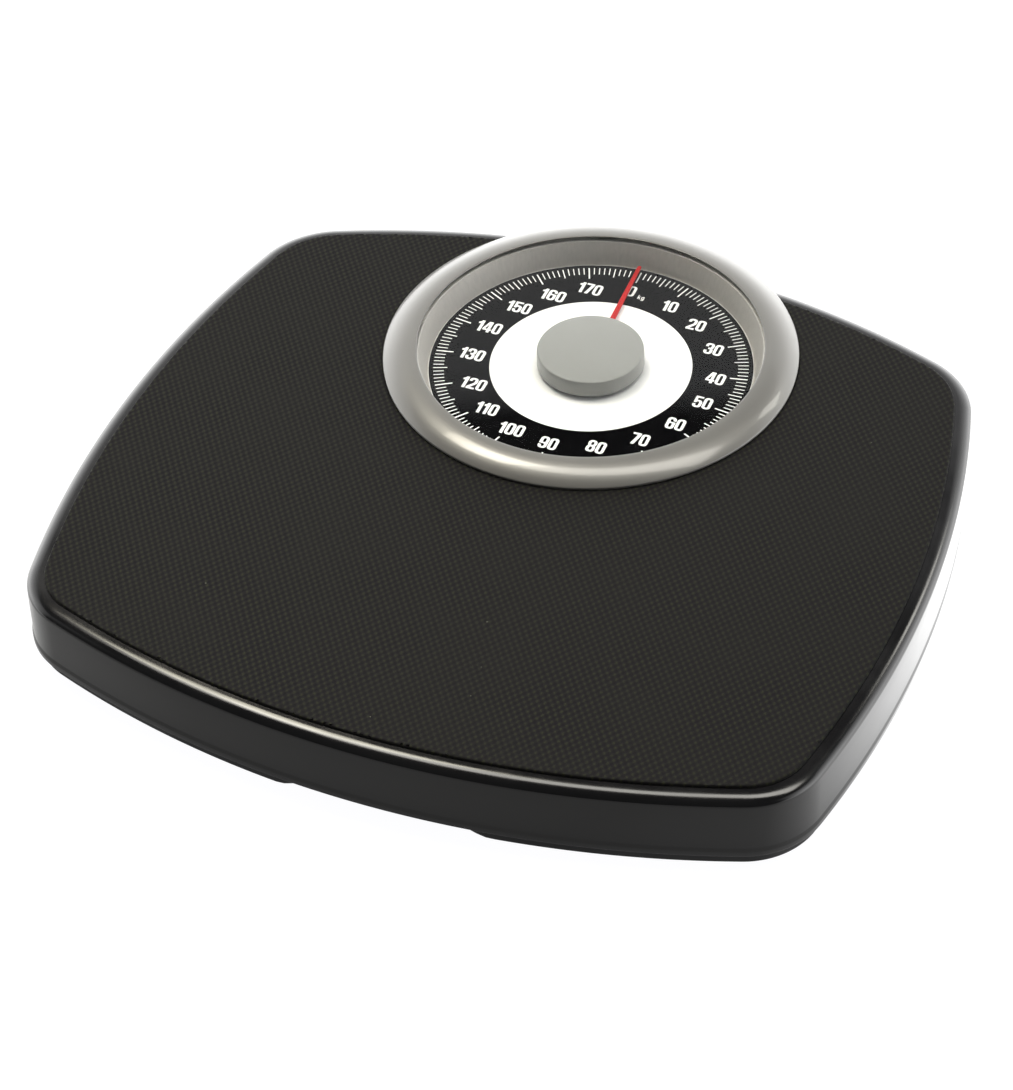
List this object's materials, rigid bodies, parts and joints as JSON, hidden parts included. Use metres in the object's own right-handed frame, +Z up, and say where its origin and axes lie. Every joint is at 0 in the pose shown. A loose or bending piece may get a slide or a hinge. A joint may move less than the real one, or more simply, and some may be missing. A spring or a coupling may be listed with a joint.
{
  "type": "mechanical dial platform scale",
  "caption": "Low mechanical floor scale: black platform with an embossed mat, a large round dial under a silver bezel, and a full lever, spring and rack mechanism inside.",
  "frame": {"origin": "on the ground under the middle of the scale's bounding box", "axes": "+X to the user's right, +Y from the user's feet towards the dial, +Z up"},
  "size_m": [0.3998, 0.38, 0.0479],
  "materials": {
    "base_black": "satin",
    "foot_rubber": "matt",
    "zinc_steel": "satin zinc plate",
    "lever_steel": "satin",
    "pin_steel": "polished",
    "spring_steel": "oiled",
    "brass": "satin",
    "guide_plastic": "matt",
    "wheel_plastic": "matt",
    "cover_black": "satin",
    "mat_vinyl": "embossed weave",
    "cup_grey": "satin",
    "dial_print": "printed",
    "lens_clear": "clear",
    "bezel_silver": "satin nickel",
    "hub_grey": "satin",
    "needle_red": "gloss"
  },
  "bodies": {
    "base": {"base_pan": "base_black", "foot_front_left": "foot_rubber", "foot_front_right": "foot_rubber", "foot_back_left": "foot_rubber", "foot_back_right": "foot_rubber", "bracket_front_left": "zinc_steel", "bracket_front_right": "zinc_steel", "bracket_back_left": "zinc_steel", "bracket_back_right": "zinc_steel", "bracket_rivets": "pin_steel", "spring_bridge": "zinc_steel", "bridge_screws": "pin_steel", "main_spring_left": "spring_steel", "main_spring_right": "spring_steel", "crank_bracket": "zinc_steel", "crank_pivot_pin": "pin_steel", "mechanism_plate": "zinc_steel", "mechanism_pillars": "zinc_steel", "pillar_screws": "pin_steel", "upper_bush": "brass", "lower_bush": "brass", "rack_guide_front": "guide_plastic", "rack_guide_rear": "guide_plastic", "rack_spring": "spring_steel", "rack_spring_post": "zinc_steel", "zero_block": "brass", "zero_bearing": "zinc_steel", "retainer_springs": "spring_steel"},
    "zero_adjuster": {"zero_rod": "pin_steel", "zero_wheel": "wheel_plastic"},
    "long_lever": {"long_lever_left_arm": "lever_steel", "long_lever_right_arm": "lever_steel", "nose_plate": "lever_steel", "nose_rivets": "pin_steel", "front_fulcrum_pins": "pin_steel", "front_load_pins": "pin_steel"},
    "short_lever_left": {"short_lever_left": "lever_steel", "short_lever_left_pins": "pin_steel"},
    "short_lever_right": {"short_lever_right": "lever_steel", "short_lever_right_pins": "pin_steel"},
    "calibrating_plate": {"calibrating_plate": "lever_steel"},
    "crank": {"bell_crank": "brass", "crank_pins": "pin_steel"},
    "rack": {"rack": "brass"},
    "pointer": {"pinion": "brass", "pointer_shaft": "pin_steel", "pointer_hub": "hub_grey", "pointer_needle": "needle_red"},
    "platform": {"platform_cover": "cover_black", "mat": "mat_vinyl", "dial_cup": "cup_grey", "dial_plate": "dial_print", "lens": "lens_clear", "bezel": "bezel_silver", "bezel_clips": "zinc_steel", "post_front_left": "zinc_steel", "post_front_right": "zinc_steel", "post_back_left": "zinc_steel", "post_back_right": "zinc_steel"}
  },
  "joints": [
    {"name": "platform_press", "type": "slide", "parent": "base", "child": "platform", "axis": [0, 0, -1], "range_m": [0, 0.001], "stiffness_N_per_m": 1766000, "springref_m": -0.00001, "deforming": ["retainer_springs"]},
    {"name": "long_lever_tilt", "type": "hinge", "parent": "base", "child": "long_lever", "pos_m": [0, -0.15, 0.024], "axis": [-1, 0, 0], "range_deg": [0, 2.86], "stiffness_Nm_per_rad": 0.2, "springref_deg": -34.38},
    {"name": "short_lever_left_tilt", "type": "hinge", "parent": "base", "child": "short_lever_left", "pos_m": [-0.135, 0.11, 0.024], "axis": [1, 0, 0], "range_deg": [0, 2.86], "stiffness_Nm_per_rad": 0.1, "springref_deg": -25.78},
    {"name": "short_lever_right_tilt", "type": "hinge", "parent": "base", "child": "short_lever_right", "pos_m": [0.135, 0.11, 0.024], "axis": [1, 0, 0], "range_deg": [0, 2.86], "stiffness_Nm_per_rad": 0.1, "springref_deg": -25.78},
    {"name": "calibrating_plate_slide", "type": "slide", "parent": "base", "child": "calibrating_plate", "axis": [0, 0, -1], "range_m": [0, 0.007], "stiffness_N_per_m": 2, "springref_m": -0.03, "deforming": ["main_spring_left", "main_spring_right"]},
    {"name": "crank_tilt", "type": "hinge", "parent": "base", "child": "crank", "pos_m": [-0.0082, 0.001, 0.0275], "axis": [1, 0, 0], "range_deg": [0, 55.64], "stiffness_Nm_per_rad": 0.0001, "springref_deg": -85.94},
    {"name": "rack_slide", "type": "slide", "parent": "base", "child": "rack", "axis": [0, 1, 0], "range_m": [0, 0.01508], "deforming": ["rack_spring"]},
    {"name": "pointer_spin", "type": "hinge", "parent": "base", "child": "pointer", "pos_m": [0, 0.09, 0.0375], "axis": [0, 0, -1], "range_deg": [0, 360.01]},
    {"name": "zero_wheel_turn", "type": "hinge", "parent": "base", "child": "zero_adjuster", "pos_m": [0.014, 0.158, 0.0125], "axis": [0, 1, 0], "range_deg": [-180, 180]}
  ],
  "couplings": [
    {"joint": "long_lever_tilt", "follows": "platform_press", "rad_per_m": 50},
    {"joint": "short_lever_left_tilt", "follows": "platform_press", "rad_per_m": 50},
    {"joint": "short_lever_right_tilt", "follows": "platform_press", "rad_per_m": 50},
    {"joint": "calibrating_plate_slide", "follows": "platform_press", "ratio": 7},
    {"joint": "crank_tilt", "follows": "platform_press", "rad_per_m": 971.04},
    {"joint": "rack_slide", "follows": "platform_press", "ratio": 15.08},
    {"joint": "pointer_spin", "follows": "platform_press", "rad_per_m": 6283.2}
  ]
}
